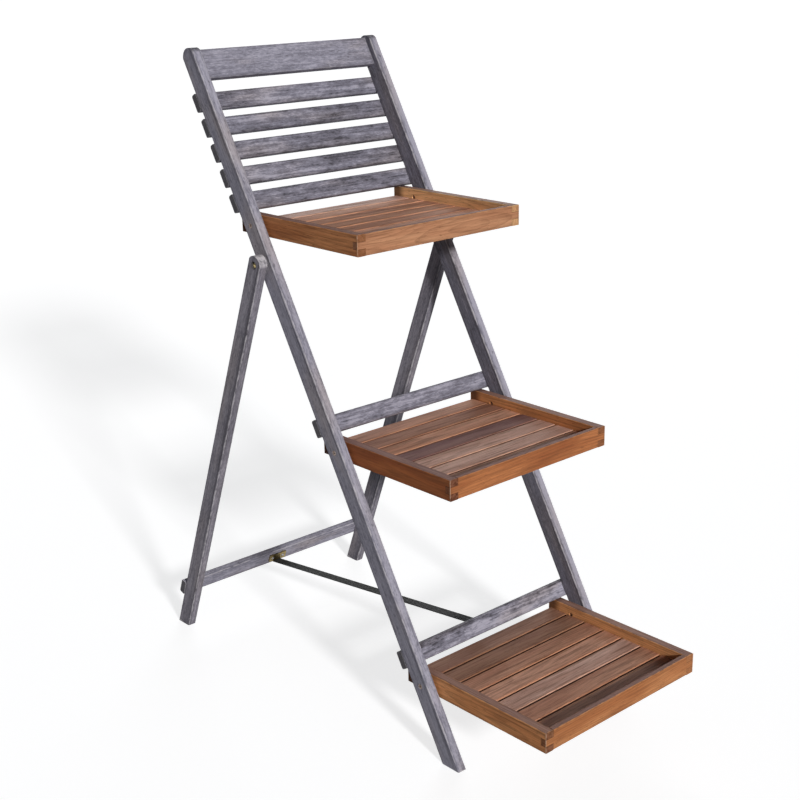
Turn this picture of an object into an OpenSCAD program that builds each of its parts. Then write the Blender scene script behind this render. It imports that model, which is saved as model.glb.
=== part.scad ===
// Folding plant ladder stand: a leaning ladder frame that carries three slatted trays, stood
// up by a hinged rear leg frame and held open by a webbing stay strap.
// Millimetres. +X to the right seen from the front, +Y to the back, +Z up.
// Origin: on the floor, in the middle of the stand's footprint.

/* [Stance] */
// Width over the outer faces of the two stiles
frame_w = 450; // [430:1:480]
// Lean of the ladder frame from the vertical, in degrees
lean = 29.7; // [29.4:0.1:30]
// Lean of the rear legs from the vertical, in degrees
leg_lean = 21.6; // [21.2:0.1:22]

/* [Ladder frame] */
// Length of a stile along its front face, floor to tip
stile_len = 1419; // [1415:1:1430]
// Width of a stile seen from the front
stile_w = 19; // [18:0.5:20]
// Depth of a stile, front face to rear face
stile_d = 38; // [37:0.5:40]
// Easing of the long edges of the stiles and legs
stile_edge = 2.5; // [1:0.5:3]
// Height of the top rail between the stiles
rail_h = 59; // [50:1:60]
// Thickness of the top rail
rail_t = 14; // [10:0.5:16]
// Set-back of the top rail's front face behind the stiles' front faces
rail_setback = 13; // [8:0.5:16]
// Step from the stiles' tips down to the top rail's upper edge
rail_drop = 5; // [3:0.5:10]

/* [Back slats and crossbars] */
// Number of back slats
back_slat_count = 5; // [3:1:5]
// Height of a back slat
back_slat_h = 35; // [30:0.5:38]
// Thickness of the back slats and of the two crossbars behind the stiles
back_bar_t = 14; // [12:0.5:16]
// Height of the middle and lower crossbars
crossbar_h = 34; // [30:0.5:36]
// Corner radius of the slats' and crossbars' sections
bar_edge = 4; // [2:0.5:5]

/* [Rear legs] */
// Width of a rear leg seen from the front
leg_w = 18; // [16:0.5:20]
// Depth of a rear leg
leg_d = 36; // [34:0.5:38]
// Gap between a rear leg and the stile beside it
leg_gap = 6; // [5:0.5:8]
// Rear legs' pivot below the top tray's, along the stile
leg_pivot_drop = 75; // [72:1:78]
// Height of the rear crossbar's section
rear_bar_h = 32; // [28:0.5:36]
// Thickness of the rear crossbar's section
rear_bar_t = 15; // [12:0.5:18]
// Lower edge of the rear crossbar above the foot, along the leg
rear_bar_up = 70; // [60:1:80]

/* [Trays] */
// Gap between a tray and the stile beside it
tray_gap = 5; // [4:0.5:6]
// Height of the tray walls
tray_h = 39; // [36:0.5:42]
// Thickness of the tray side walls
tray_side_t = 19; // [17:0.5:21]
// Thickness of the tray front board
tray_front_t = 11; // [10:0.5:13]
// Pivot bolt above the underside of a tray
tray_pivot_up = 22; // [21:0.5:23]
// Place of the bottom tray's pivot along the stile
bottom_pivot_s = 166; // [160:1:170]
// Place of the middle tray's pivot along the stile
middle_pivot_s = 616; // [610:1:620]
// Top tray's pivot below the stile's tip, along the stile
top_pivot_drop = 355; // [354:1:360]
// Bottom tray's reach in front of its pivot
bottom_reach = 285; // [275:1:288]
// Middle tray's reach in front of its pivot
middle_reach = 281; // [272:1:284]
// Top tray's reach in front of its pivot
top_reach = 277; // [270:1:279]
// Tray side walls behind the pivot
tray_rear = 59; // [56:0.5:60]
// Floor surface above the underside of a tray
floor_up = 20; // [18:0.5:20.5]
// Number of slats in a tray floor
floor_slat_count = 7; // [5:1:7]
// Thickness of a floor slat
floor_slat_t = 9; // [7:0.5:10]
// Gap between two floor slats
floor_gap = 5; // [3:0.5:7]
// Set-back of the rear floor slat from the side walls' rear ends
floor_inset = 5; // [3:0.5:8]
// Width of the battens under the floor slats
batten_w = 15; // [12:0.5:18]
// Easing of the tray boards' edges
tray_edge = 1.5; // [0.5:0.5:2]

/* [Fastenings] */
// Radius of the tray pivot bolts
tray_bolt_r = 3; // [2.5:0.25:3.5]
// Radius of the leg pivot bolts
leg_bolt_r = 4; // [3:0.25:4.5]
// Running clearance of a pivot bolt in its stile, on the radius
pivot_run = 0.08; // [0.05:0.01:0.1]
// Radius of the tray pivot bolts' heads, flush in the stiles
tray_head_r = 4.75; // [4.25:0.25:6]
// Height of the tray pivot bolts' heads
tray_head_h = 2.4; // [2:0.2:3]
// Radius of the leg pivot bolts' domed heads
leg_head_r = 6.5; // [5.5:0.25:8]
// Height of the domed heads
leg_head_h = 2.8; // [2:0.2:3]
// Depth of the counterbores that the domed heads sit in
leg_head_sunk = 3.6; // [3:0.2:5]
// Radius of the barrel nuts sunk in the tray side walls
barrel_nut_r = 4.5; // [4.25:0.25:5]
// Depth of the barrel nuts behind the wall's inner face
barrel_nut_sunk = 2; // [1:0.5:3]
// Radius of the wood screws' shanks
screw_r = 2; // [1.5:0.25:2.25]
// Radius of the wood screws' heads
screw_head_r = 3.6; // [3.25:0.05:4]
// Length of a wood screw under its head
screw_len = 28; // [22:1:30]

/* [Stay strap] */
// Width of the webbing strap
strap_w = 22; // [20:0.5:22]
// Thickness of the webbing strap
strap_t = 2; // [1.5:0.1:2.2]
// Height of the brass plates that clamp the strap
plate_h = 18; // [16:0.5:20]
// Metal over the strap in a brass plate
plate_skin = 1.2; // [1:0.1:2]
// Easing of the brass plates' corners
plate_edge = 2; // [1:0.5:4]
// Radius of the plate screws' shanks
plate_screw_r = 1.7; // [1.5:0.1:1.8]
// Metal between the strap's channel and the screws beside it
plate_wall = 0.6; // [0.5:0.1:3]
// Metal outside the screws' middles, out to the plates' ends
plate_lug = 9; // [6:0.5:12]
// Front plate above the middle of the lower crossbar
front_plate_up = 4; // [2:0.5:4]

/* [Hidden] */
// Flat faces of one moving part stay this far from another part's
face_gap = 0.2;
// Gap between a tray at rest and the bar above it that stops it
stop_gap = 0.4;
// Clearance on the radius of bolts and screws in parts that they move with
fixed_clear = 0.1;
// Room around a bolt head that turns in its counterbore
head_clear = 0.3;
// Height of a screw's head, and the cross cut into it
screw_head_h = 1.6;
cross_w = 0.9;
cross_span = 4;
cross_deep = 0.8;
// Hexagon socket in the tray pivot bolts
socket_r = 2;
socket_deep = 1.5;
// Barrel nut length and cap nut height
barrel_nut_len = 6;
cap_nut_h = 4.5;
cap_nut_r = 6.5;
// Washer rims around the two kinds of bolt
tray_washer_r = 8;
leg_washer_r = 10;
// Clear space around the strap in its plates
strap_clear = 0.1;
// Strap length that leaves a plate before it turns, and that is held under it
strap_leave = 3.5;
strap_held = 1;
// Screws of one bar end stand this far above and below the bar's middle
screw_spread = 8;
// Length of a plate screw under its head
plate_screw_len = 12;
// A cutter runs past a face by this much
past = 1;

leg_x = frame_w / 2 + leg_gap + leg_w / 2;
leg_seat_x = leg_x + leg_w / 2 - leg_head_sunk;
stile_x = (frame_w - stile_w) / 2;
between_stiles = frame_w - 2 * stile_w;
tray_w = between_stiles - 2 * tray_gap;
well_w = tray_w - 2 * tray_side_t;
over_legs = frame_w + 2 * (leg_gap + leg_w);
bar_back = stile_d + back_bar_t;
pivot_t = stile_d / 2;
// The corner joint's fingers are three equal steps: the side wall's, the front board's, and
// the side wall's again
finger_h = tray_h / 3;

tray_names = ["bottom", "middle", "top"];
pivot_s = [bottom_pivot_s, middle_pivot_s, stile_len - top_pivot_drop];
reach = [bottom_reach, middle_reach, top_reach];

// A place s along the stile and t behind its front face, as [y, z] from the stile's front foot
function on_side(s, t) = [s * sin(lean) + t * cos(lean), s * cos(lean) - t * sin(lean)];

leg_pivot_s = pivot_s[2] - leg_pivot_drop;
leg_pivot = on_side(leg_pivot_s, pivot_t);
// Distance along the leg from its pivot to the floor, at v behind the leg's middle line
function leg_to_floor(v) = (leg_pivot.y + v * sin(leg_lean)) / cos(leg_lean);
// A place u down the leg and v behind its middle line, as [y, z]
function on_leg_side(u, v) = leg_pivot + [u * sin(leg_lean) + v * cos(leg_lean),
                                          v * sin(leg_lean) - u * cos(leg_lean)];

// The footprint runs from the bottom tray's front to the rear feet, and the origin halves it
footprint_front = on_side(bottom_pivot_s, pivot_t).x - bottom_reach;
footprint_back = on_leg_side(leg_to_floor(leg_d / 2), leg_d / 2).x;
origin_y = (footprint_front + footprint_back) / 2;

// Lower edge, along the stile, of the bar that stops a tray: its rounded lower rear corner
// comes down to stop_gap above the tray's walls
function stop_bar_s(i) = (on_side(pivot_s[i], pivot_t).y + tray_h - tray_pivot_up + stop_gap
    - bar_edge * (cos(lean) + sin(lean) - 1) + bar_back * sin(lean)) / cos(lean);
lower_bar_s = stop_bar_s(0);
middle_bar_s = stop_bar_s(1);
// Slats stand evenly from the top tray's stop up to the top rail, slat 1 at the top
rail_s = stile_len - rail_drop - rail_h;
back_slat_pitch = (rail_s - stop_bar_s(2)) / back_slat_count;
function back_slat_s(i) = stop_bar_s(2) + (back_slat_count - i) * back_slat_pitch;
// Middles of all the bars that are screwed to the stiles' rear faces
bar_middles = concat([lower_bar_s + crossbar_h / 2, middle_bar_s + crossbar_h / 2],
                     [for (i = [1:back_slat_count]) back_slat_s(i) + back_slat_h / 2]);

rear_bar_u = leg_to_floor(0) - rear_bar_up - rear_bar_h;
rear_plate_u = rear_bar_u + (rear_bar_h - plate_h) / 2;
front_plate_s = lower_bar_s + crossbar_h / 2 + front_plate_up - plate_h / 2;
plate_t = strap_t + 2 * strap_clear + plate_skin;
plate_screw_x = strap_w / 2 + strap_clear + plate_wall + plate_screw_r + fixed_clear;
plate_w = 2 * (plate_screw_x + plate_lug);

// Middle line of the strap, as [y, z]: under the rear plate, out at its lower edge, straight
// to the front plate's lower edge and up under it
strap_off = strap_clear + strap_t / 2;
strap_line = [
    on_leg_side(rear_plate_u + strap_held, leg_d / 2 - strap_off),
    on_leg_side(rear_plate_u + plate_h + strap_leave, leg_d / 2 - strap_off),
    on_side(front_plate_s - strap_leave, bar_back + strap_off),
    on_side(front_plate_s + plate_h - strap_held, bar_back + strap_off)
];

function unit(v) = v / norm(v);
function left_of(v) = [-v.y, v.x];
// Offset of the strap's line by d at point i, mitred between the two runs that meet there
function strap_side(i, d) =
    let (into = unit(strap_line[max(i, 1)] - strap_line[max(i, 1) - 1]),
         out = unit(strap_line[min(i + 1, 3)] - strap_line[min(i, 2)]),
         mitre = unit(left_of(into) + left_of(out)))
    strap_line[i] + mitre * d / (mitre * left_of(into));

wood_grey = [0.55, 0.53, 0.54];
wood_brown = [0.60, 0.38, 0.24];
steel = [0.30, 0.28, 0.27];
brass = [0.70, 0.58, 0.30];
webbing = [0.12, 0.13, 0.13];

// ---- Frames of reference ----

// Local y runs behind the stile's front face and local z up along it
module on_stile() {
    translate([0, -origin_y, 0]) rotate([-lean, 0, 0]) children();
}

// Local origin on the leg pivot's axis, local y behind the leg's middle line, local z up it
module on_leg() {
    translate([0, leg_pivot.x - origin_y, leg_pivot.y]) rotate([leg_lean, 0, 0]) children();
}

// Local origin on the pivot axis of tray i, level with the floor
module on_tray(i) {
    pivot = on_side(pivot_s[i], pivot_t);
    translate([0, pivot.x - origin_y, pivot.y]) children();
}

// ---- Shapes that repeat ----

// Rectangle from the origin with four corner arcs
module eased_rect(size_x, size_y, r) {
    translate([r, 0]) square([size_x - 2 * r, size_y]);
    translate([0, r]) square([size_x, size_y - 2 * r]);
    for (x = [r, size_x - r], y = [r, size_y - r]) {
        translate([x, y]) circle(r = r);
    }
}

// Extrudes an outline drawn in y and z along x, centred on x
module across(x, width) {
    translate([x, 0, 0]) rotate([90, 0, 90]) linear_extrude(width, center = true) children();
}

// Round bar along x between two places
module rod(x_from, x_to, r) {
    translate([min(x_from, x_to), 0, 0]) rotate([0, 90, 0]) cylinder(h = abs(x_to - x_from), r = r);
}

// Pan-head screw: the seat of its head on z = 0, its shank down from there
module pan_screw(length, r) {
    difference() {
        cylinder(h = screw_head_h, r1 = screw_head_r, r2 = screw_head_r - screw_head_h / 2);
        for (turn = [0, 90]) {
            rotate(turn) translate([-cross_span / 2, -cross_w / 2, screw_head_h - cross_deep])
                cube([cross_span, cross_w, cross_deep + past]);
        }
    }
    translate([0, 0, -length]) cylinder(h = length, r = r);
}

// Shallow domed head that stands on z = 0
module domed_head(r, height) {
    ball_r = (r * r + height * height) / (2 * height);
    intersection() {
        translate([0, 0, height - ball_r]) sphere(r = ball_r);
        cylinder(h = height, r = r);
    }
}

// Bore for such a screw, a clearance wider, from past its seat down to a clearance below it
module screw_bore(length, r) {
    translate([0, 0, -length - fixed_clear])
        cylinder(h = length + fixed_clear + past, r = r + fixed_clear);
}

// Places the two screws of each end of a bar, at x to both sides
module at_bar_ends(x) {
    for (side = [-1, 1], up = [-screw_spread, screw_spread]) {
        translate([side * x, 0, up]) children();
    }
}

// Turns a screw so that it drives towards -y, with its head's seat at y = 0
module driven_forward() {
    rotate([-90, 0, 0]) children();
}

// ---- Ladder frame ----

module stile_outline() {
    polygon([[0, 0], [stile_d, stile_d * tan(lean)], [stile_d, stile_len - stile_d / 2],
             [0, stile_len - stile_d / 2]]);
    translate([stile_d / 2, stile_len - stile_d / 2]) circle(r = stile_d / 2);
}

// side is -1 for the left stile and 1 for the right
module stile(side) {
    color(wood_grey) on_stile() difference() {
        intersection() {
            across(side * stile_x, stile_w) stile_outline();
            translate([side * stile_x - stile_w / 2, 0, 0])
                linear_extrude(stile_len) eased_rect(stile_w, stile_d, stile_edge);
        }
        for (s = pivot_s) translate([0, pivot_t, s]) {
            rod(side * (frame_w / 2 + past), side * (between_stiles / 2 - past),
                tray_bolt_r + pivot_run);
            rod(side * (frame_w / 2 - tray_head_h - face_gap), side * (frame_w / 2 + past),
                tray_head_r + head_clear);
        }
        translate([0, pivot_t, leg_pivot_s])
            rod(side * (frame_w / 2 + past), side * (between_stiles / 2 - past),
                leg_bolt_r + pivot_run);
        for (s = bar_middles) {
            translate([0, bar_back, s]) at_bar_ends(stile_x) driven_forward()
                screw_bore(screw_len, screw_r);
        }
    }
}

module top_rail() {
    color(wood_grey) on_stile()
        translate([0, rail_setback, rail_s])
            across(0, between_stiles) eased_rect(rail_t, rail_h, stile_edge);
}

// A bar on the stiles' rear faces with its lower edge at s
module back_bar(s, height) {
    color(wood_grey) on_stile() difference() {
        translate([0, stile_d, s]) across(0, frame_w) eased_rect(back_bar_t, height, bar_edge);
        translate([0, bar_back, s + height / 2]) at_bar_ends(stile_x) driven_forward()
            screw_bore(screw_len, screw_r);
    }
}

module back_slat(i) {
    back_bar(back_slat_s(i), back_slat_h);
}

module middle_crossbar() {
    back_bar(middle_bar_s, crossbar_h);
}

module lower_crossbar() {
    color(wood_grey) difference() {
        back_bar(lower_bar_s, crossbar_h);
        at_front_plate() plate_bores();
    }
}

module frame_screws() {
    color(steel) on_stile() for (s = bar_middles) {
        translate([0, bar_back, s]) at_bar_ends(stile_x) driven_forward() pan_screw(screw_len, screw_r);
    }
}

// ---- Rear leg frame ----

module leg_outline() {
    half = leg_d / 2;
    polygon([[-half, -leg_to_floor(-half)], [half, -leg_to_floor(half)], [half, 0], [-half, 0]]);
    circle(r = half);
}

module rear_leg(side) {
    color(wood_grey) on_leg() difference() {
        intersection() {
            across(side * leg_x, leg_w) leg_outline();
            translate([side * leg_x - leg_w / 2, -leg_d / 2, -leg_to_floor(leg_d / 2)])
                linear_extrude(leg_to_floor(leg_d / 2) + leg_d / 2)
                    eased_rect(leg_w, leg_d, stile_edge);
        }
        rod(side * (leg_x - leg_w / 2 - past), side * (leg_x + leg_w / 2 + past),
            leg_bolt_r + fixed_clear);
        rod(side * leg_seat_x, side * (leg_x + leg_w / 2 + past), leg_head_r + head_clear);
        translate([0, leg_d / 2 + rear_bar_t, -rear_bar_u - rear_bar_h / 2]) at_bar_ends(leg_x)
            driven_forward() screw_bore(screw_len, screw_r);
    }
}

module left_rear_leg() {
    rear_leg(-1);
}

module right_rear_leg() {
    rear_leg(1);
}

module rear_crossbar() {
    color(wood_grey) difference() {
        on_leg() translate([0, leg_d / 2, -rear_bar_u - rear_bar_h])
            across(0, over_legs) eased_rect(rear_bar_t, rear_bar_h, stile_edge);
        on_leg() translate([0, leg_d / 2 + rear_bar_t, -rear_bar_u - rear_bar_h / 2])
            at_bar_ends(leg_x) driven_forward() screw_bore(screw_len, screw_r);
        at_rear_plate() plate_bores();
    }
}

module rear_crossbar_screws() {
    color(steel) on_leg()
        translate([0, leg_d / 2 + rear_bar_t, -rear_bar_u - rear_bar_h / 2])
            at_bar_ends(leg_x) driven_forward() pan_screw(screw_len, screw_r);
}

// Domed head in the leg's counterbore, shank through the leg, the washer and the stile
module leg_pivot_bolts() {
    color(brass) on_leg() for (side = [-1, 1]) mirror([side < 0 ? 1 : 0, 0, 0]) {
        rod(between_stiles / 2 + face_gap - cap_nut_h, leg_seat_x + leg_head_h / 2, leg_bolt_r);
        translate([leg_seat_x, 0, 0]) rotate([0, 90, 0]) domed_head(leg_head_r, leg_head_h);
    }
}

module leg_pivot_washers() {
    color(steel) on_leg() for (side = [-1, 1]) difference() {
        rod(side * (frame_w / 2 + face_gap), side * (frame_w / 2 + leg_gap), leg_washer_r);
        rod(side * (frame_w / 2 - past), side * (frame_w / 2 + leg_gap + past),
            leg_bolt_r + fixed_clear);
    }
}

// Six-sided cap nuts on the inner ends of the leg bolts
module leg_pivot_nuts() {
    color(brass) on_leg() for (side = [-1, 1]) mirror([side < 0 ? 1 : 0, 0, 0])
        translate([between_stiles / 2 - face_gap - cap_nut_h, 0, 0]) rotate([0, 90, 0])
            difference() {
                cylinder(h = cap_nut_h, r = cap_nut_r, $fn = 6);
                translate([0, 0, face_gap]) cylinder(h = cap_nut_h, r = leg_bolt_r + fixed_clear);
            }
}

// ---- Stay strap and its plates ----

// The two screws of a plate stand on its face, one to each side of the strap
module at_plate_screws() {
    for (side = [-1, 1]) {
        translate([side * plate_screw_x, plate_t, plate_h / 2]) driven_forward() children();
    }
}

module plate_bores() {
    at_plate_screws() screw_bore(plate_screw_len, plate_screw_r);
}

// Brass keeper standing on z = 0 with its back on y = 0 and its face towards +y
module strap_plate() {
    difference() {
        translate([-plate_w / 2, plate_t, 0]) rotate([90, 0, 0])
            linear_extrude(plate_t) eased_rect(plate_w, plate_h, plate_edge);
        translate([-strap_w / 2 - strap_clear, -past, -past])
            cube([strap_w + 2 * strap_clear, plate_t - plate_skin + past, plate_h + 2 * past]);
        plate_bores();
    }
}

module plate_screws() {
    at_plate_screws() pan_screw(plate_screw_len, plate_screw_r);
}

module at_front_plate() {
    on_stile() translate([0, bar_back, front_plate_s]) children();
}

module at_rear_plate() {
    on_leg() translate([0, leg_d / 2, -rear_plate_u - plate_h]) mirror([0, 1, 0]) children();
}

module strap_front_plate() {
    color(brass) at_front_plate() strap_plate();
}

module strap_front_screws() {
    color(brass) at_front_plate() plate_screws();
}

module strap_rear_plate() {
    color(brass) at_rear_plate() strap_plate();
}

module strap_rear_screws() {
    color(brass) at_rear_plate() plate_screws();
}

module stay_strap() {
    color(webbing) translate([0, -origin_y, 0]) across(0, strap_w)
        polygon(concat([for (i = [0:3]) strap_side(i, strap_t / 2)],
                       [for (i = [3:-1:0]) strap_side(i, -strap_t / 2)]));
}

// ---- Trays ----

// side is -1 for the left wall and 1 for the right
module tray_side(i, side) {
    length = reach[i] + tray_rear;
    inner = well_w / 2;
    color(wood_brown) on_tray(i) difference() {
        translate([side * (tray_w - tray_side_t) / 2 - tray_side_t / 2, tray_rear, -tray_pivot_up])
            rotate([90, 0, 0]) linear_extrude(length) eased_rect(tray_side_t, tray_h, tray_edge);
        translate([-tray_w, -reach[i] - past, finger_h - tray_pivot_up])
            cube([2 * tray_w, tray_front_t + past, finger_h]);
        rod(side * (inner - past), side * (tray_w / 2 + past), tray_bolt_r + fixed_clear);
        rod(side * (inner - past), side * (inner + barrel_nut_sunk + barrel_nut_len),
            barrel_nut_r + fixed_clear);
    }
}

module tray_front(i) {
    color(wood_brown) on_tray(i) translate([0, -reach[i], -tray_pivot_up]) {
        across(0, well_w) eased_rect(tray_front_t, tray_h, tray_edge);
        translate([-tray_w / 2, 0, finger_h]) cube([tray_w, tray_front_t, finger_h]);
    }
}

function floor_depth(i) = reach[i] + tray_rear - tray_front_t - floor_inset;

// Slats are counted from the rear, one pitch apart up to the front board
module tray_slat(i, number) {
    pitch = floor_depth(i) / floor_slat_count;
    color(wood_brown) on_tray(i)
        translate([0, tray_rear - floor_inset - number * pitch + floor_gap,
                   floor_up - floor_slat_t - tray_pivot_up])
            across(0, well_w) eased_rect(pitch - floor_gap, floor_slat_t, tray_edge);
}

module tray_battens(i) {
    color(wood_brown) on_tray(i) for (side = [-1, 1]) {
        translate([side * (well_w - batten_w) / 2 - batten_w / 2,
                   tray_front_t - reach[i], -tray_pivot_up])
            cube([batten_w, floor_depth(i), floor_up - floor_slat_t]);
    }
}

// Bolt with its head flush in the stile and its shank in the wall, washer in the gap between
// them, barrel nut sunk in the wall's inner face
module tray_bolts(i) {
    head_x = frame_w / 2 - tray_head_h;
    nut_x = well_w / 2 + barrel_nut_sunk;
    color(steel) on_tray(i) for (side = [-1, 1]) mirror([side < 0 ? 1 : 0, 0, 0]) {
        rod(nut_x + 2 * face_gap, head_x + past / 2, tray_bolt_r);
        translate([head_x, 0, 0]) rotate([0, 90, 0]) difference() {
            cylinder(h = tray_head_h, r = tray_head_r);
            translate([0, 0, tray_head_h - socket_deep])
                cylinder(h = socket_deep + past, r = socket_r, $fn = 6);
        }
        difference() {
            rod(tray_w / 2, tray_w / 2 + tray_gap - face_gap, tray_washer_r);
            rod(tray_w / 2 - past, tray_w / 2 + tray_gap + past, tray_bolt_r + fixed_clear);
        }
        difference() {
            rod(nut_x, nut_x + barrel_nut_len - fixed_clear, barrel_nut_r);
            rod(nut_x + face_gap, nut_x + barrel_nut_len + past, tray_bolt_r + fixed_clear);
        }
    }
}

module left_stile() {
    stile(-1);
}

module right_stile() {
    stile(1);
}

left_stile();
right_stile();
top_rail();
for (i = [1:back_slat_count]) {
    back_slat(i);
}
middle_crossbar();
lower_crossbar();
frame_screws();
strap_front_plate();
strap_front_screws();
stay_strap();
left_rear_leg();
right_rear_leg();
rear_crossbar();
rear_crossbar_screws();
leg_pivot_bolts();
leg_pivot_washers();
leg_pivot_nuts();
strap_rear_plate();
strap_rear_screws();
for (i = [0:2]) {
    tray_side(i, -1);
    tray_side(i, 1);
    tray_front(i);
    tray_battens(i);
    tray_bolts(i);
    for (number = [1:floor_slat_count]) {
        union() {
            tray_slat(i, number);
        }
    }
}
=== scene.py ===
"""Looks of a folding plant ladder stand: grey-washed ladder and legs, oiled brown trays.

Everything is in metres in the frame of the solids: +X right, +Y back, +Z up, origin on the
floor in the middle of the footprint.
"""
import math

import bpy
import numpy as np
from mathutils import Euler, Matrix, Vector


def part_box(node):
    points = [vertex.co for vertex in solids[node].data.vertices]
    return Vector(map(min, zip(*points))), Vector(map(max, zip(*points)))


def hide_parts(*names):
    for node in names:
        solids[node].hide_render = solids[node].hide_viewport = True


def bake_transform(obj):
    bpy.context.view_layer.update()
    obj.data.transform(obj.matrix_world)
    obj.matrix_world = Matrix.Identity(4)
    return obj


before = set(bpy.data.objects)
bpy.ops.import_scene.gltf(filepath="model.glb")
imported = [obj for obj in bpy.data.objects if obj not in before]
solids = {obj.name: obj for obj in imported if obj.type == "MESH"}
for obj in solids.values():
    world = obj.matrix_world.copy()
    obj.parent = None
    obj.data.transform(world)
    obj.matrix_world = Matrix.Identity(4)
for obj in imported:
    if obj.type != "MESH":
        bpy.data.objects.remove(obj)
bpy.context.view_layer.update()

# ---- Sizes that the looks share with the solids ----

LEAN = math.radians(29.7)
LEG_LEAN = math.radians(21.6)
STILE_LENGTH = 1.419
STILE_WIDTH = 0.019
STILE_DEPTH = 0.038
LEG_WIDTH = 0.018
LEG_DEPTH = 0.036
LEG_GAP = 0.006
LEG_PIVOT_S = 0.989
LEG_BOLT_HOLE = 0.0068
FRAME_WIDTH = 0.450
# From the lower front corner of the stiles' feet back to the middle of the footprint
ORIGIN_Y = 0.3380138
RAIL_HEIGHT = 0.059
BAR_THICKNESS = 0.014
BACK_SLAT_HEIGHT = 0.035
CROSSBAR_HEIGHT = 0.034
REAR_BAR_HEIGHT = 0.032
REAR_BAR_THICKNESS = 0.015
REAR_BAR_UP = 0.070
TRAY_GAP = 0.005
TRAY_HEIGHT = 0.039
TRAY_SIDE = 0.019
TRAY_FRONT = 0.011
FINGER_STEP = TRAY_HEIGHT / 6
STRAP_WIDTH = 0.022
STRAP_THICKNESS = 0.002
STRAP_CLEAR = 0.0001
STRAP_LEAVE = 0.0035
STRAP_HELD = 0.001
PLATE_HEIGHT = 0.018
FRONT_PLATE_S = 0.2152

TRAYS = ("bottom", "middle", "top")
FLOOR_SLATS = range(1, 8)
BACK_SLATS = range(1, 6)


def on_side(s, t):
    """(y, z) of a place s along the stile and t behind its front face."""
    return np.array([s * math.sin(LEAN) + t * math.cos(LEAN) - ORIGIN_Y,
                     s * math.cos(LEAN) - t * math.sin(LEAN)])


LEG_PIVOT = on_side(LEG_PIVOT_S, STILE_DEPTH / 2)
LEG_LENGTH = LEG_PIVOT[1] / math.cos(LEG_LEAN)


def on_leg(u, v):
    """(y, z) of a place u down the leg from its pivot and v behind its middle line."""
    return LEG_PIVOT + np.array([u * math.sin(LEG_LEAN) + v * math.cos(LEG_LEAN),
                                 v * math.sin(LEG_LEAN) - u * math.cos(LEG_LEAN)])


# ---- Building node trees ----

class Wiring:
    """Adds nodes to one tree and wires each as it is placed."""

    def __init__(self, tree):
        self.tree = tree

    def feed(self, socket, value):
        """Links a socket to another, or sets its own value."""
        if isinstance(value, bpy.types.NodeSocket):
            self.tree.links.new(value, socket)
        else:
            socket.default_value = value

    def add(self, kind, inputs, **settings):
        node = self.tree.nodes.new(kind)
        for name, value in settings.items():
            setattr(node, name, value)
        for key, value in inputs.items():
            self.feed(node.inputs[key], value)
        return node

    def math(self, operation, *values, clamp=False):
        return self.add("ShaderNodeMath", dict(enumerate(values)), operation=operation,
                        use_clamp=clamp).outputs[0]

    def vector(self, operation, *values):
        node = self.add("ShaderNodeVectorMath", dict(enumerate(values)), operation=operation)
        return node.outputs["Value" if operation in ("LENGTH", "DOT_PRODUCT") else "Vector"]

    def object_place(self):
        return self.tree.nodes.new("ShaderNodeTexCoord").outputs["Object"]

    def noise(self, place, stretch, detail=2.0, roughness=0.5, distortion=0.0):
        """Noise whose cells are 1 / stretch metres along each axis."""
        scaled = self.vector("MULTIPLY", place, stretch)
        return self.add("ShaderNodeTexNoise",
                        {"Vector": scaled, "Scale": 1.0, "Detail": detail,
                         "Roughness": roughness, "Distortion": distortion}).outputs[0]

    def band(self, value, low, high, to_low=0.0, to_high=1.0):
        """Smooth step of value from low to high."""
        return self.add("ShaderNodeMapRange",
                        {"Value": value, "From Min": low, "From Max": high,
                         "To Min": to_low, "To Max": to_high},
                        interpolation_type="SMOOTHSTEP").outputs[0]

    def mix(self, share, first, second, mode="MIX"):
        """Colour first turned to second by share."""
        return self.add("ShaderNodeMix", {0: share, 6: first, 7: second},
                        data_type="RGBA", blend_type=mode).outputs[2]

    def split(self, vector):
        return self.add("ShaderNodeSeparateXYZ", {0: vector}).outputs

    def join(self, x, y, z):
        return self.add("ShaderNodeCombineXYZ", {0: x, 1: y, 2: z}).outputs[0]


def effect(name, inputs, outputs, wire):
    """Shader node group with named sockets; wire(w, given) returns its outputs in order."""
    group = bpy.data.node_groups.new(name, "ShaderNodeTree")
    for label, kind, value in inputs:
        socket = group.interface.new_socket(label, in_out="INPUT", socket_type="NodeSocket" + kind)
        socket.default_value = value
    for label, kind in outputs:
        group.interface.new_socket(label, in_out="OUTPUT", socket_type="NodeSocket" + kind)
    given = group.nodes.new("NodeGroupInput").outputs
    last = group.nodes.new("NodeGroupOutput")
    w = Wiring(group)
    for socket, value in zip(last.inputs, wire(w, given)):
        w.feed(socket, value)
    return group


def use(w, group, **inputs):
    """Places a group in a material; underscores in the names stand for spaces."""
    node = w.tree.nodes.new("ShaderNodeGroup")
    node.node_tree = group
    for name, value in inputs.items():
        w.feed(node.inputs[name.replace("_", " ")], value)
    return node.outputs


def colour(r, g, b):
    return (r, g, b, 1.0)


# ---- Effects that several finishes use ----

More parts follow.
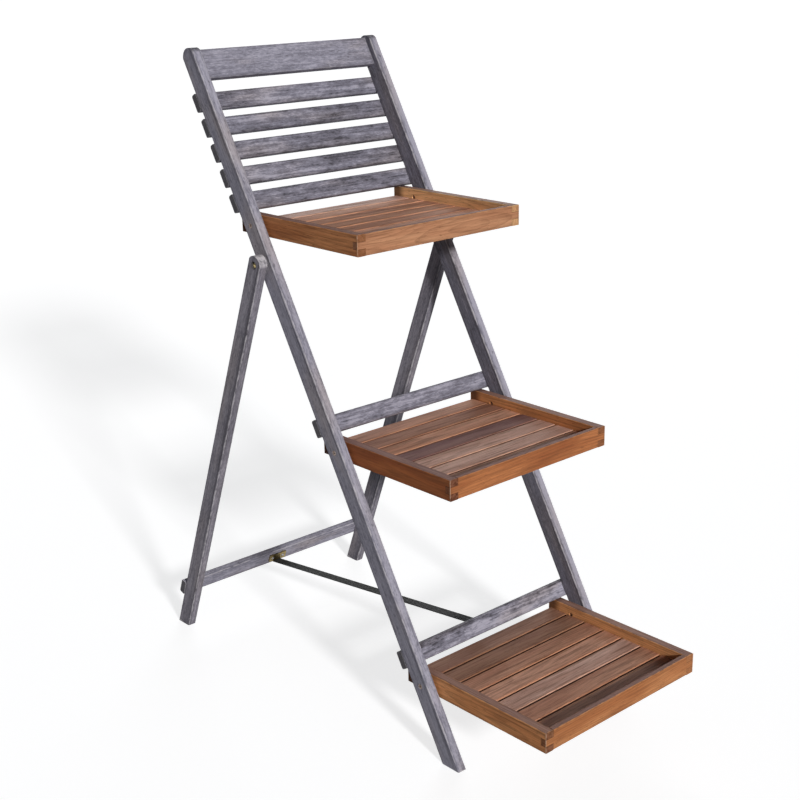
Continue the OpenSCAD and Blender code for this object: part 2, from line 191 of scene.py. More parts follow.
def wire_figure(w, given):
    """Growth rings, fibres, pores and clouds of a board whose grain runs along x.

    Rings are cylinders round a pith line beside the board, pushed about by slow noise; fibres
    and pores are noise drawn out along x; clouds are slow drifts of tone.
    """
    seed = given["Seed"]
    place = w.vector("ADD", given["Place"],
                     w.join(w.math("MULTIPLY", seed, 1.37), w.math("MULTIPLY", seed, 0.71),
                            w.math("MULTIPLY", seed, 2.13)))
    x, y, z = w.split(given["Place"])
    turn = w.math("MULTIPLY", seed, 2.399)
    pith_y = w.math("MULTIPLY", w.math("SINE", turn), given["Pith"])
    pith_z = w.math("MULTIPLY", w.math("COSINE", turn), given["Pith"])
    push = w.noise(place, (2.6, 13.0, 13.0), detail=1.0)
    ripple = w.noise(place, (11.0, 60.0, 60.0), detail=2.0)
    off_y = w.math("SUBTRACT", y, pith_y)
    off_z = w.math("SUBTRACT", z, pith_z)
    away = w.math("SQRT", w.math("ADD", w.math("MULTIPLY", off_y, off_y),
                                 w.math("MULTIPLY", off_z, off_z)))
    away = w.math("ADD", away, w.math("MULTIPLY", push, 0.045))
    away = w.math("ADD", away, w.math("MULTIPLY", ripple, 0.0028))
    count = w.math("DIVIDE", away, given["Ring Width"])
    saw = w.math("FRACT", count)
    rings = w.math("MULTIPLY", w.math("POWER", saw, 2.5), w.band(saw, 1.0, 0.93))
    fibre = w.noise(place, (13.0, 620.0, 620.0), detail=3.0, roughness=0.62)
    thread = w.noise(place, (45.0, 1900.0, 1900.0), detail=1.0)
    pores = w.band(w.noise(place, (75.0, 950.0, 950.0), detail=1.0), 0.66, 0.74)
    clouds = w.noise(place, (4.5, 24.0, 24.0), detail=3.0, roughness=0.55)
    return rings, w.math("ADD", w.math("MULTIPLY", fibre, 0.7),
                         w.math("MULTIPLY", thread, 0.3)), pores, clouds


board_figure = effect(
    "board_figure",
    [("Place", "Vector", (0, 0, 0)), ("Seed", "Float", 0.0), ("Ring Width", "Float", 0.006),
     ("Pith", "Float", 0.04)],
    [("Rings", "Float"), ("Fibre", "Float"), ("Pores", "Float"), ("Clouds", "Float")],
    wire_figure)


def wire_arris(w, given):
    """Wear on a board's edges, its sawn ends, and the nearness of its edges.

    The second smallest distance to the three pairs of faces is the distance to the nearest
    edge, and noise breaks up the wear there; the distance to the x faces alone tells the ends.
    """
    inside = w.vector("SUBTRACT", given["Half Size"], w.vector("ABSOLUTE", given["Place"]))
    a, b, c = w.split(inside)
    near = w.math("MAXIMUM", w.math("MINIMUM", a, b),
                  w.math("MINIMUM", w.math("MAXIMUM", a, b), c))
    rough = w.noise(w.vector("ADD", given["Place"], w.join(given["Seed"], 0.0, 0.0)),
                    (55.0, 170.0, 170.0), detail=3.0, roughness=0.6)
    reach = w.math("MULTIPLY", given["Width"], w.band(rough, 0.3, 0.75, 0.3, 1.8))
    worn = w.math("SUBTRACT", 1.0, w.math("DIVIDE", near, reach), clamp=True)
    ends = w.band(a, 0.0006, 0.0002)
    border = w.band(w.math("ADD", near, w.math("MULTIPLY", rough, 0.006)), 0.011, 0.002)
    return worn, ends, border


board_arris = effect(
    "board_arris",
    [("Place", "Vector", (0, 0, 0)), ("Seed", "Float", 0.0), ("Half Size", "Vector", (1, 1, 1)),
     ("Width", "Float", 0.002)],
    [("Worn", "Float"), ("Ends", "Float"), ("Border", "Float")],
    wire_arris)


def wire_joint(w, given):
    """Dark outline where a board's end is notched for the fingers of the next board.

    With d = max(Side * (Step - |z|), from end - Depth), the notch is where d < 0 and its
    outline where d = 0. Side is 1 where the notches are above and below the finger, and -1
    where one notch lies between two fingers.
    """
    high = w.math("ABSOLUTE", w.split(given["Place"])[2])
    across = w.math("MULTIPLY", w.math("SUBTRACT", given["Step"], high), given["Side"])
    along = w.math("SUBTRACT", given["From End"], given["Depth"])
    away = w.math("ABSOLUTE", w.math("MAXIMUM", across, along))
    return (w.band(away, 0.0008, 0.0002),)


finger_joint = effect(
    "finger_joint",
    [("Place", "Vector", (0, 0, 0)), ("From End", "Float", 0.0), ("Depth", "Float", 0.019),
     ("Step", "Float", 0.0065), ("Side", "Float", 1.0)],
    [("Line", "Float")],
    wire_joint)


def wire_tarnish(w, given):
    """Patches of tarnish and fine scratches on small metal pieces."""
    place = given["Place"]
    patches = w.noise(place, (190.0, 190.0, 190.0), detail=4.0, roughness=0.65)
    specks = w.noise(place, (900.0, 900.0, 900.0), detail=2.0)
    dull = w.math("ADD", w.math("MULTIPLY", w.band(patches, 0.35, 0.7), given["Amount"]),
                  w.math("MULTIPLY", w.band(specks, 0.55, 0.8), 0.3), clamp=True)
    scratch = w.noise(place, (300.0, 2600.0, 700.0), detail=1.0)
    return dull, scratch


metal_tarnish = effect(
    "metal_tarnish",
    [("Place", "Vector", (0, 0, 0)), ("Amount", "Float", 0.6)],
    [("Dull", "Float"), ("Scratch", "Float")],
    wire_tarnish)


# ---- Finishes ----

def new_material(name):
    """Material with a Principled shader; returns it with its wiring and that shader."""
    material = bpy.data.materials.new(name)
    material.use_nodes = True
    tree = material.node_tree
    tree.nodes.clear()
    shader = tree.nodes.new("ShaderNodeBsdfPrincipled")
    out = tree.nodes.new("ShaderNodeOutputMaterial")
    tree.links.new(shader.outputs[0], out.inputs["Surface"])
    return material, Wiring(tree), shader


def board_place(w, centre, turn):
    """Place on a board: x along its grain from its middle, in metres."""
    return w.add("ShaderNodeMapping",
                 {"Vector": w.object_place(), "Location": tuple(centre),
                  "Rotation": tuple(turn)},
                 vector_type="TEXTURE").outputs[0]


def bump(w, shader, height, strength, distance):
    w.feed(shader.inputs["Normal"],
           w.add("ShaderNodeBump", {"Height": height, "Strength": strength,
                                    "Distance": distance}).outputs[0])


GREY_DARK = colour(0.058, 0.055, 0.070)
GREY_MIDDLE = colour(0.188, 0.184, 0.234)
GREY_LIGHT = colour(0.380, 0.373, 0.455)
GREY_WORN_AND_HIGHLIGHT = colour(0.560, 0.545, 0.580)
GREY_END = colour(0.085, 0.082, 0.090)
GREY_STAIN = colour(0.036, 0.033, 0.024)
GREY_WARMTH = colour(1.12, 1.00, 0.82)


def grey_wash(name, centre, turn, half, seed, tone=0.0, patchy=1.0, rubbed=0.25,
              fall=(0.0, 0.0), warm=0.0, cap=None, bolt=None):
    """Weathered grey wash over fine-grained wood, rubbed paler along the edges.

    Tone lightens the whole board, and fall its faces toward y and z; patchy says how far the
    wash varies over it, rubbed how bare its edges are, and warm how brown its bluest places
    are. Cap is the colour of the upper part of the round tip of a stile or leg, the surface
    that lies half the board's depth from the tip's centre; on a leg it is a painted highlight.
    Such a board has dirt on its sides behind the front edges. Bolt is the radius of a hole at
    that centre, stained by its brass.
    """
    material, w, shader = new_material(name)
    place = board_place(w, centre, turn)
    x, y, z = w.split(place)
    rings, fibre, pores, clouds = use(w, board_figure, Place=place, Seed=seed, Pith=0.05,
                                      Ring_Width=0.0065)
    worn, ends, border = use(w, board_arris, Place=place, Seed=seed, Half_Size=half,
                             Width=0.0025)
    moved = w.vector("ADD", place, (seed * 0.31, seed * 0.77, 0.0))
    sponged = w.noise(moved, (34.0, 95.0, 95.0), detail=5.0, roughness=0.62)
    brushed = w.noise(moved, (125.0, 430.0, 430.0), detail=3.0, roughness=0.65)
    strokes = w.noise(moved, (9.0, 210.0, 210.0), detail=3.0, roughness=0.55)
    knocks = w.band(w.noise(moved, (75.0, 190.0, 190.0), detail=2.0), 0.66, 0.76)
    warmth = w.noise(moved, (5.0, 22.0, 22.0), detail=2.0)
    wash = 0.50 + tone
    for layer, weight in ((clouds, 0.30 * patchy), (sponged, 0.34 * patchy),
                          (strokes, 0.30 * patchy), (brushed, 0.26), (fibre, 0.24)):
        wash = w.math("ADD", wash, w.math("MULTIPLY", w.math("SUBTRACT", layer, 0.5), weight))
    wash = w.math("SUBTRACT", wash, w.math("MULTIPLY", border, 0.058))
    # Fall shifts the wash toward the board's y and z faces; on the legs it is painted shade,
    # darker toward their front faces.
    wash = w.math("ADD", wash, w.math("MULTIPLY", y, fall[0] / half[1]))
    wash = w.math("ADD", wash, w.math("MULTIPLY", z, fall[1] / half[2]))
    paint = w.mix(w.band(wash, 0.36, 0.50), GREY_DARK, GREY_MIDDLE)
    paint = w.mix(w.band(wash, 0.48, 0.62), paint, GREY_LIGHT)
    paint = w.mix(w.band(warmth, 0.45, 0.70, warm, 0.55), paint, GREY_WARMTH, "MULTIPLY")
    paint = w.mix(w.math("MULTIPLY", rings, 0.22), paint, GREY_DARK)
    paint = w.mix(w.math("MAXIMUM", w.math("MULTIPLY", pores, 0.45),
                         w.math("MULTIPLY", knocks, 0.55)), paint, GREY_DARK)
    paint = w.mix(w.math("MULTIPLY", ends, 0.85), paint, GREY_END)
    paint = w.mix(w.math("MULTIPLY", worn, rubbed), paint, GREY_WORN_AND_HIGHLIGHT)
    # The cap colour is painted on the upper part of the round tip: the end colour on a stile, a
    # painted highlight on a leg.
    if cap:
        up = w.math("SUBTRACT", x, half[0] - half[1])
        reach = w.math("SQRT", w.math("ADD", w.math("MULTIPLY", up, up),
                                      w.math("MULTIPLY", y, y)))
        tip = w.math("MULTIPLY", w.band(reach, half[1] - 0.0008, half[1] - 0.0002),
                     w.band(up, 0.1 * half[1], 0.4 * half[1]))
        paint = w.mix(w.math("MULTIPLY", tip, w.band(sponged, 0.38, 0.60, 0.40, 0.85)), paint,
                      cap)
        behind = w.math("ADD", y, half[1])
        dirt = w.math("MULTIPLY", w.band(behind, 0.0022, 0.0040), w.band(behind, 0.0130, 0.0060))
        dirt = w.math("MULTIPLY", dirt, w.band(w.noise(moved, (7.0, 260.0, 260.0), detail=2.0),
                                               0.42, 0.60, 0.0, 0.55))
        paint = w.mix(dirt, paint, GREY_DARK)
        if bolt:
            stain = w.band(w.math("ADD", reach, w.math("MULTIPLY", sponged, 0.004)),
                           bolt + 0.0035, bolt + 0.0015, 0.0, 0.75)
            paint = w.mix(stain, paint, GREY_STAIN)
    w.feed(shader.inputs["Base Color"], paint)
    w.feed(shader.inputs["Roughness"], w.band(fibre, 0.2, 0.8, 0.66, 0.84))
    shader.inputs["Specular IOR Level"].default_value = 0.3
    height = w.math("SUBTRACT", fibre, w.math("MULTIPLY", pores, 0.8))
    bump(w, shader, height, 0.45, 0.0006)
    return material


BROWN_DARK = colour(0.100, 0.042, 0.019)
BROWN_END_AND_SHADE = colour(0.045, 0.013, 0.006)
BROWN_SAWN = colour(0.190, 0.078, 0.044)
BROWN_RUBBED = colour(0.480, 0.310, 0.220)
BROWN_TOP = colour(0.340, 0.222, 0.212)
BROWN_OILED = colour(1.02, 0.88, 0.74)


def oiled_brown(name, centre, turn, half, seed, light, red, joint=None):
    """Oiled brown hardwood: light is the early wood's colour and red that of its streaks.

    A tray wall has joint: the depth of its corner notches, 1 for a front board or -1 for a
    side, the sign of the board's y on its outer face, and how dark its sawn ends are. Its upper
    face is weathered and its outer corners are rubbed pale; a side has painted shadow of the
    stile over its rear end. A floor slat or a batten has no joint, and has painted shade on the
    faces of its gaps.
    """
    material, w, shader = new_material(name)
    place = board_place(w, centre, turn)
    rings, fibre, pores, clouds = use(w, board_figure, Place=place, Seed=seed, Pith=0.045,
                                      Ring_Width=0.0052)
    worn, ends, border = use(w, board_arris, Place=place, Seed=seed, Half_Size=half,
                             Width=0.0019 if joint else 0.0010)
    x, y, z = w.split(place)
    below = w.math("SUBTRACT", half[2], z)
    streaks = w.noise(w.vector("ADD", place, (seed, 0.0, seed)), (9.0, 150.0, 150.0),
                      detail=3.0, roughness=0.6, distortion=0.3)
    wood = w.mix(w.band(clouds, 0.38, 0.62), light, red)
    wood = w.mix(w.band(streaks, 0.48, 0.68, 0.0, 0.30 if joint else 0.50), wood, BROWN_DARK)
    wood = w.mix(w.math("MULTIPLY", rings, 0.34 if joint else 0.28), wood, BROWN_DARK)
    wood = w.mix(w.band(fibre, 0.42, 0.72, 0.0, 0.45), wood, BROWN_DARK)
    wood = w.mix(w.math("MULTIPLY", pores, 0.55), wood, BROWN_DARK)
    pale = colour(min(1.0, 1.12 * light[0] + 0.06), 1.05 * light[1] + 0.05,
                  0.85 * light[2] + 0.03)
    sawn = w.mix(w.band(streaks, 0.35, 0.65), BROWN_END_AND_SHADE, BROWN_SAWN)
    if joint:
        depth, side, outward, stain = joint
        wood = w.mix(w.band(below, 0.0007, 0.0002, 0.0, 0.80), wood,
                     w.mix(w.band(fibre, 0.35, 0.8), BROWN_TOP, BROWN_DARK))
        wood = w.mix(w.math("MULTIPLY", border, 0.25), wood, BROWN_DARK)
        end = w.math("ABSOLUTE", x) if side > 0 else w.math("MULTIPLY", x, -1.0)
        from_end = w.math("SUBTRACT", half[0], end)
        # Painted shadow of the stile: each tray side turns to the end-grain colour over its rear
        # end, where the stile shades it.
        if side < 0:
            back = w.band(x, half[0] - 0.034, half[0] - 0.012, 0.0, 0.80)
            wood = w.mix(back, wood, BROWN_END_AND_SHADE)
        wood = w.mix(w.math("MULTIPLY", worn, 0.60), wood, pale)
        wood = w.mix(w.math("MULTIPLY", ends, stain), wood, sawn)
        line = use(w, finger_joint, Place=place, Depth=depth, Step=FINGER_STEP, Side=side,
                   From_End=from_end)[0]
        wood = w.mix(w.math("MULTIPLY", line, 0.30 + 0.60 * stain), wood, BROWN_END_AND_SHADE)
        out = w.math("SUBTRACT", half[1], w.math("MULTIPLY", y, outward))
        corner = w.band(w.math("ADD", from_end, out), 0.0019, 0.0008)
        wood = w.mix(w.math("MULTIPLY", corner, w.band(streaks, 0.35, 0.6, 0.15, 0.80)), wood,
                     BROWN_RUBBED)
    else:
        wood = w.mix(w.math("MULTIPLY", border, w.band(clouds, 0.35, 0.65, 0.9, 0.3)), wood,
                     BROWN_OILED, "MULTIPLY")
        # Painted shade in the gaps: the long faces of a slat or batten, below the rounding of its
        # top edge, turn to the end-grain colour.
        flank = w.band(w.math("SUBTRACT", half[1], w.math("ABSOLUTE", y)), 0.0008, 0.0002)
        gap_shade = w.math("MULTIPLY", flank, w.band(below, 0.0010, 0.0022, 0.0, 0.92))
        wood = w.mix(gap_shade, wood, BROWN_END_AND_SHADE)
        wood = w.mix(w.math("MULTIPLY", worn, 0.60), wood, pale)
        wood = w.mix(w.math("MULTIPLY", ends, 0.90), wood, sawn)
    w.feed(shader.inputs["Base Color"], wood)
    w.feed(shader.inputs["Roughness"], w.band(fibre, 0.2, 0.8, 0.66, 0.84))
    shader.inputs["Specular IOR Level"].default_value = 0.2
    height = w.math("SUBTRACT", w.math("MULTIPLY", fibre, 0.8), pores)
    bump(w, shader, height, 0.35, 0.0005)
    return material


def metal(name, bright, dull, roughness, amount):
    """Metal whose tarnish is darker and rougher than its clean parts."""
    material, w, shader = new_material(name)
    place = w.object_place()
    tarnish, scratch = use(w, metal_tarnish, Place=place, Amount=amount)
    w.feed(shader.inputs["Base Color"], w.mix(tarnish, bright, dull))
    w.feed(shader.inputs["Roughness"],
           w.math("ADD", roughness, w.math("MULTIPLY", tarnish, 0.30)))
    shader.inputs["Metallic"].default_value = 1.0
    bump(w, shader, scratch, 0.15, 0.0002)
    return material


CHEVRON_WIDTH = 0.0028
RIB_PITCH = 0.0022
YARN_PITCH = 0.0011


def webbing(name):
    """Woven strap: diagonal ribs that meet in chevrons, from the strap's own UV map.

    U runs along the strap and V across it, both in metres; the edges are bound by a plain
    selvedge.
    """
    material, w, shader = new_material(name)
    along, across, _ = w.split(w.add("ShaderNodeUVMap", {}, uv_map="strap").outputs[0])
    middle = w.math("ABSOLUTE", w.math("SUBTRACT", across, STRAP_WIDTH / 2))
    zigzag = w.math("PINGPONG", middle, CHEVRON_WIDTH)
    slant = w.math("ADD", along, zigzag)
    rib = w.math("SINE", w.math("MULTIPLY", slant, 2 * math.pi / RIB_PITCH))
    yarn = w.math("SINE", w.math("MULTIPLY", across, 2 * math.pi / YARN_PITCH))
    selvedge = w.band(middle, STRAP_WIDTH / 2 - 0.0018, STRAP_WIDTH / 2 - 0.0012)
    relief = w.math("ADD", w.math("MULTIPLY", rib, 0.35), w.math("MULTIPLY", yarn, 0.15))
    relief = w.math("ADD", relief, w.math("MULTIPLY", selvedge, 0.35))
    place = w.object_place()
    fuzz = w.noise(place, (350.0, 350.0, 350.0), detail=4.0, roughness=0.7)
    dust = w.noise(place, (22.0, 22.0, 22.0), detail=3.0)
    cloth = w.mix(w.band(relief, -0.5, 0.6), colour(0.005, 0.006, 0.007),
                  colour(0.024, 0.027, 0.027))
    cloth = w.mix(w.band(fuzz, 0.45, 0.8, 0.0, 0.20), cloth, colour(0.042, 0.046, 0.046))
    cloth = w.mix(w.band(dust, 0.50, 0.80, 0.0, 0.15), cloth, colour(0.070, 0.068, 0.064))
    w.feed(shader.inputs["Base Color"], cloth)
    w.feed(shader.inputs["Roughness"], w.band(fuzz, 0.2, 0.8, 0.78, 0.92))
    shader.inputs["Sheen Weight"].default_value = 0.08
    shader.inputs["Specular IOR Level"].default_value = 0.25
    shader.inputs["Sheen Roughness"].default_value = 0.5
    bump(w, shader, relief, 0.6, 0.0005)
    return material


def dress(node, material):
    for slot in solids[node].material_slots:
        slot.material = material


# ---- Grey frame ----

def box_middle(node):
    low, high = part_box(node)
    return (low + high) / 2


def box_size(node):
    low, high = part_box(node)
    return high - low


def halves(*size):
    return tuple(length / 2 for length in size)


# Each turn takes a board's own x, its grain, and its y and z to where they lie on the stand
ACROSS_STILE = Euler((-LEAN, 0, 0))
ACROSS_LEG = Euler((LEG_LEAN, 0, 0))
UP_STILE = (Matrix.Rotation(-LEAN, 3, "X") @ Matrix.Rotation(-math.pi / 2, 3, "Y")).to_euler()
UP_LEG = (Matrix.Rotation(LEG_LEAN, 3, "X") @ Matrix.Rotation(-math.pi / 2, 3, "Y")).to_euler()
ALONG_Y = Euler((0, 0, math.pi / 2))
ALONG_X = Euler((0, 0, 0))

for side, name in ((-1, "left"), (1, "right")):
    y, z = on_side(STILE_LENGTH / 2, STILE_DEPTH / 2)
    dress(name + "_stile",
          grey_wash("grey_" + name + "_stile", (side * (FRAME_WIDTH - STILE_WIDTH) / 2, y, z),
                    UP_STILE, halves(STILE_LENGTH, STILE_DEPTH, STILE_WIDTH),
                    seed=3.1 + side, tone=0.083 + 0.011 * side, patchy=0.5, rubbed=0.85,
                    fall=(0.0, -0.056 * (side + 1)), cap=GREY_END))
    y, z = on_leg(LEG_LENGTH / 2 - LEG_DEPTH / 4, 0)
    leg_x = FRAME_WIDTH / 2 + LEG_GAP + LEG_WIDTH / 2
    # On the legs, fall is painted shade, darker toward their front faces and lighter toward their
    # backs, and the cap is a painted highlight on the upper part of each round tip.
    dress(name + "_rear_leg",
          grey_wash("grey_" + name + "_leg", (side * leg_x, y, z), UP_LEG,
                    halves(LEG_LENGTH + LEG_DEPTH / 2, LEG_DEPTH, LEG_WIDTH),
                    seed=7.4 + side, tone=0.044, patchy=0.5, rubbed=0.85, fall=(0.030, 0.0),
                    warm=0.25, cap=GREY_WORN_AND_HIGHLIGHT, bolt=LEG_BOLT_HOLE))

dress("top_rail",
      grey_wash("grey_top_rail", box_middle("top_rail"), ACROSS_STILE,
                halves(FRAME_WIDTH - 2 * STILE_WIDTH, BAR_THICKNESS, RAIL_HEIGHT),
                seed=11.3, tone=0.036, patchy=0.45))
for number in BACK_SLATS:
    node = f"back_slat_{number}"
    dress(node, grey_wash("grey_" + node, box_middle(node), ACROSS_STILE,
                          halves(FRAME_WIDTH, BAR_THICKNESS, BACK_SLAT_HEIGHT),
                          seed=13.7 + 2.3 * number, tone=-0.005))
for node, seed, patchy in (("middle_crossbar", 31.2, 0.9), ("lower_crossbar", 37.9, 1.5)):
    dress(node, grey_wash("grey_" + node, box_middle(node), ACROSS_STILE,
                          halves(FRAME_WIDTH, BAR_THICKNESS, CROSSBAR_HEIGHT),
                          seed=seed, tone=0.03, patchy=patchy))
dress("rear_crossbar",
      grey_wash("grey_rear_crossbar", box_middle("rear_crossbar"), ACROSS_LEG,
                halves(FRAME_WIDTH + 2 * (LEG_GAP + LEG_WIDTH), REAR_BAR_THICKNESS,
                       REAR_BAR_HEIGHT),
                seed=43.5, tone=0.055, patchy=0.6, rubbed=0.6))

# ---- Brown trays ----

# Each wood is the colour of its early wood and the redder colour of its streaks
WOODS = {
    "sand": (colour(0.960, 0.550, 0.270), colour(0.790, 0.410, 0.190)),
    "straw": (colour(0.870, 0.410, 0.176), colour(0.684, 0.284, 0.112)),
    "golden": (colour(0.780, 0.368, 0.156), colour(0.610, 0.252, 0.098)),
    "honey": (colour(0.600, 0.308, 0.168), colour(0.478, 0.222, 0.117)),
    "copper": (colour(0.640, 0.272, 0.112), colour(0.480, 0.178, 0.066)),
    "amber": (colour(0.560, 0.243, 0.098), colour(0.422, 0.158, 0.058)),
    "russet": (colour(0.506, 0.192, 0.072), colour(0.348, 0.112, 0.040)),
    "mahogany": (colour(0.440, 0.143, 0.049), colour(0.304, 0.084, 0.029)),
    "ginger": (colour(0.690, 0.302, 0.122), colour(0.540, 0.206, 0.077)),
    "purple": (colour(0.305, 0.172, 0.160), colour(0.226, 0.115, 0.110)),
    "dark": (colour(0.385, 0.208, 0.140), colour(0.278, 0.134, 0.088)),
    "umber": (colour(0.482, 0.256, 0.180), colour(0.356, 0.168, 0.112)),
    "plain": (colour(0.612, 0.322, 0.214), colour(0.477, 0.225, 0.145)),
    "tan": (colour(0.714, 0.390, 0.270), colour(0.571, 0.275, 0.172)),
    "pale": (colour(0.740, 0.480, 0.395), colour(0.585, 0.344, 0.268)),
}
# For each tray: the woods of its left side, front board and right side, how dark their sawn
# ends are, and the woods of its floor slats from the back
WALL_WOODS = {
    "bottom": ("straw", "amber", "golden"),
    "middle": ("mahogany", "russet", "ginger"),
    "top": ("copper", "honey", "sand"),
}
SAWN_STAIN = {
    "bottom": (0.85, 0.60, 0.35),
    "middle": (0.85, 0.65, 0.60),
    "top": (0.60, 0.45, 0.30),
}
FLOOR_WOODS = {
    "bottom": ("dark", "dark", "plain", "tan", "pale", "plain", "plain"),
    "middle": ("plain", "umber", "tan", "purple", "pale", "pale", "tan"),
    "top": ("pale", "tan", "plain", "plain", "plain", "tan", "tan"),
}

for tray_number, tray in enumerate(TRAYS):
    tray_seed = 50 + 17.3 * tray_number
    left_wood, front_wood, right_wood = WALL_WOODS[tray]
    left_stain, front_stain, right_stain = SAWN_STAIN[tray]
    for side, name, wood, stain in ((-1, "left", left_wood, left_stain),
                                    (1, "right", right_wood, right_stain)):
        node = f"{tray}_tray_{name}_side"
        dress(node, oiled_brown("brown_" + node, box_middle(node), ALONG_Y,
                                halves(box_size(node).y, TRAY_SIDE, TRAY_HEIGHT),
                                tray_seed + side, *WOODS[wood],
                                joint=(TRAY_FRONT, -1.0, -side, stain)))
    node = f"{tray}_tray_front"
    dress(node, oiled_brown("brown_" + node, box_middle(node), ALONG_X,
                            halves(FRAME_WIDTH - 2 * (STILE_WIDTH + TRAY_GAP), TRAY_FRONT,
                                   TRAY_HEIGHT),
                            tray_seed + 3.7, *WOODS[front_wood],
                            joint=(TRAY_SIDE, 1.0, -1.0, front_stain)))
    for number, wood in zip(FLOOR_SLATS, FLOOR_WOODS[tray]):
        node = f"{tray}_tray_slat_{number}"
        dress(node, oiled_brown("brown_" + node, box_middle(node), ALONG_X,
                                halves(*box_size(node)), tray_seed + 5.9 * number,
                                *WOODS[wood]))
    node = f"{tray}_tray_battens"
    size = box_size(node)
    dress(node, oiled_brown("brown_" + node, box_middle(node), ALONG_Y,
                            halves(size.y, size.x, size.z), tray_seed + 9.1,
                            *WOODS["amber"]))

# ---- Metal ----

brass = metal("brass", colour(0.62, 0.50, 0.24), colour(0.22, 0.17, 0.085), 0.30, 0.7)
old_brass = metal("tarnished_brass", colour(0.44, 0.34, 0.15), colour(0.13, 0.10, 0.045), 0.36,
                  0.9)
bright_steel = metal("zinc_steel", colour(0.55, 0.55, 0.56), colour(0.28, 0.27, 0.26), 0.30, 0.6)
brown_steel = metal("bronzed_steel", colour(0.34, 0.27, 0.24), colour(0.12, 0.085, 0.07),
                    0.34, 0.8)
for node in ("leg_pivot_bolts", "leg_pivot_nuts"):
    dress(node, brass)
for node in ("strap_front_plate", "strap_rear_plate"):
    dress(node, old_brass)
for node in ("strap_front_screws", "strap_rear_screws", "frame_screws",
             "rear_crossbar_screws", "leg_pivot_washers"):
    dress(node, bright_steel)
for tray in TRAYS:
    dress(f"{tray}_tray_bolts", brown_steel)

# ---- Stay strap ----

# Points of the strap's section: across each flat face, and round each edge
FLAT_POINTS = 9
BEND_POINTS = 7
STRAP_STEP = 0.0012
STRAP_EDGE = 0.0009
# The drawn strap is a little thinner than its solid, which leaves room under the plates
STRAP_SHOWN_THICKNESS = 0.9 * STRAP_THICKNESS
CORNER_RADIUS = 0.0016
CORNER_POINTS = 9


def arc_corner(points, radius, steps):
    """A line of [y, z] points with each inner corner turned into an arc of that radius.

    The arc is tangent to both runs: its ends lie radius * tan(half the turn) from the corner,
    and its points swing round the centre from one end to the other in equal angles.
    """
    line = [points[0]]
    for before, corner, after in zip(points, points[1:], points[2:]):
        into = (corner - before) / np.linalg.norm(corner - before)
        out = (after - corner) / np.linalg.norm(after - corner)
        turn = math.atan2(into[0] * out[1] - into[1] * out[0], into @ out)
        start = corner - into * radius * math.tan(abs(turn) / 2)
        inward = np.array([-into[1], into[0]]) * math.copysign(1, turn)
        centre = start + inward * radius
        angle = np.linspace(0, turn, steps)
        arm = start - centre
        swing = np.stack([arm[0] * np.cos(angle) - arm[1] * np.sin(angle),
                          arm[0] * np.sin(angle) + arm[1] * np.cos(angle)], axis=1)
        line.extend(centre + swing)
    line.append(points[-1])
    return np.array(line)


def even_steps(line, step):
    """The line's points moved to equal distances of about step along it."""
    reach = np.concatenate([[0], np.cumsum(np.linalg.norm(np.diff(line, axis=0), axis=1))])
    wanted = np.linspace(0, reach[-1], int(round(reach[-1] / step)) + 1)
    return np.stack([np.interp(wanted, reach, line[:, 0]),
                     np.interp(wanted, reach, line[:, 1])], axis=1), wanted


def strap_mesh(name, line, reach, width, thickness, edge):
    """A flat band along a [y, z] line, its section a rectangle with rounded edges.

    Each section point is line + a * across + b * normal, where (a, b) runs once round a
    rectangle of width by thickness whose short sides are half ellipses edge wide, and the
    normal is the line's left side. Each of the two end sections is closed by one face.
    """
    tangent = np.gradient(line, axis=0)
    tangent /= np.linalg.norm(tangent, axis=1, keepdims=True)
    normal = np.stack([-tangent[:, 1], tangent[:, 0]], axis=1)
    flat = np.linspace(-1, 1, FLAT_POINTS) * (width / 2 - edge)
    bend = np.linspace(math.pi / 2, -math.pi / 2, BEND_POINTS)[1:-1]
    a = np.concatenate([flat, width / 2 - edge + edge * np.cos(bend),
                        flat[::-1], -(width / 2 - edge) - edge * np.cos(bend)])
    b = np.concatenate([np.full(FLAT_POINTS, thickness / 2), thickness / 2 * np.sin(bend),
                        np.full(FLAT_POINTS, -thickness / 2), -thickness / 2 * np.sin(bend)])
    rows, ring = len(line), len(a)
    grid = np.zeros((rows, ring, 3))
    grid[:, :, 0] = a
    grid[:, :, 1:] = line[:, None, :] + b[None, :, None] * normal[:, None, :]
    index = np.arange(rows * ring).reshape(rows, ring)
    here, there = index[:-1], index[1:]
    quads = np.stack([here, np.roll(here, -1, axis=1), np.roll(there, -1, axis=1), there],
                     axis=-1).reshape(-1, 4)
    faces = quads.tolist() + [index[0, ::-1].tolist(), index[-1].tolist()]
    mesh = bpy.data.meshes.new(name)
    mesh.from_pydata(grid.reshape(-1, 3), [], faces)
    mesh.validate()
    corners = np.zeros(len(mesh.loops), np.int32)
    mesh.loops.foreach_get("vertex_index", corners)
    uv = np.stack([np.repeat(reach, ring), np.tile(a + width / 2, rows)], axis=1)
    mesh.uv_layers.new(name="strap").data.foreach_set("uv", uv[corners].ravel())
    mesh.shade_smooth()
    at_end = np.zeros(rows * ring, bool)
    at_end[index[[0, -1]]] = True
    edges = np.zeros(2 * len(mesh.edges), np.int32)
    mesh.edges.foreach_get("vertices", edges)
    mesh.attributes.new("sharp_edge", "BOOLEAN", "EDGE").data.foreach_set(
        "value", at_end[edges].reshape(-1, 2).all(axis=1))
    piece = bpy.data.objects.new(name, mesh)
    bpy.context.scene.collection.objects.link(piece)
    return piece


